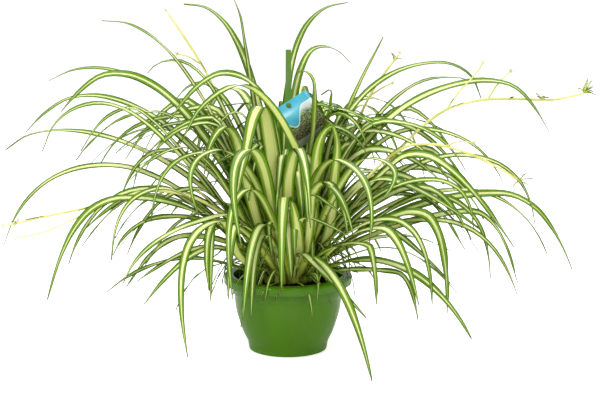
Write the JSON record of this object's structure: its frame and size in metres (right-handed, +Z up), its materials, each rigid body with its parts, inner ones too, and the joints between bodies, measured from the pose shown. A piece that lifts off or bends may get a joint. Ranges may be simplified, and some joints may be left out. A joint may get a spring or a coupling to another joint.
{
  "type": "potted spider plant",
  "caption": "Leafy house plant with long arching cream-striped green leaves and pale flower stalks, growing in a glossy green plastic pot with a folded lip and a hanging plant label.",
  "frame": {"origin": "centre of the pot's flat underside, on the surface it stands on", "axes": "+Z up, +X to the right seen from the front, -Y to the front; the leaves spread widest along X"},
  "size_m": [0.8096, 0.6647, 0.4941],
  "materials": {
    "pot_plastic": "glossy moulded green plastic",
    "soil": "moist dark potting soil of peat and bark",
    "leaf_base": "pale green living plant tissue",
    "leaf_blade": "satin living leaf, cream along the middle with green margins",
    "flower_stalk": "pale yellow living stalk",
    "label_card": "printed plastic card",
    "stake_plastic": "matt green plastic"
  },
  "bodies": {
    "root": {"pot": "pot_plastic", "potting_soil": "soil", "crown": "leaf_base", "label_card": "label_card", "label_stake": "stake_plastic", "label_peg": "stake_plastic", "flower_stalk_right_high": "flower_stalk", "flower_stalk_right_low": "flower_stalk", "flower_stalk_up_right": "flower_stalk", "flower_stalk_left": "flower_stalk", "flower_stalk_up_left": "flower_stalk", "leaf_01": "leaf_blade", "leaf_02": "leaf_blade", "leaf_03": "leaf_blade", "leaf_04": "leaf_blade", "leaf_05": "leaf_blade", "leaf_06": "leaf_blade", "leaf_07": "leaf_blade", "leaf_08": "leaf_blade", "leaf_09": "leaf_blade", "leaf_10": "leaf_blade", "leaf_11": "leaf_blade", "leaf_12": "leaf_blade", "leaf_13": "leaf_blade", "leaf_14": "leaf_blade", "leaf_15": "leaf_blade", "leaf_16": "leaf_blade", "leaf_17": "leaf_blade", "leaf_18": "leaf_blade", "leaf_19": "leaf_blade", "leaf_20": "leaf_blade", "leaf_21": "leaf_blade", "leaf_22": "leaf_blade", "leaf_23": "leaf_blade", "leaf_24": "leaf_blade", "leaf_25": "leaf_blade", "leaf_26": "leaf_blade", "leaf_27": "leaf_blade", "leaf_28": "leaf_blade", "leaf_29": "leaf_blade", "leaf_30": "leaf_blade", "leaf_31": "leaf_blade", "leaf_32": "leaf_blade", "leaf_33": "leaf_blade", "leaf_34": "leaf_blade", "leaf_35": "leaf_blade", "leaf_36": "leaf_blade", "leaf_37": "leaf_blade", "leaf_38": "leaf_blade", "leaf_39": "leaf_blade", "leaf_40": "leaf_blade", "leaf_41": "leaf_blade", "leaf_42": "leaf_blade", "leaf_43": "leaf_blade", "leaf_44": "leaf_blade", "leaf_45": "leaf_blade", "leaf_46": "leaf_blade", "leaf_47": "leaf_blade", "leaf_48": "leaf_blade"}
  },
  "joints": []
}
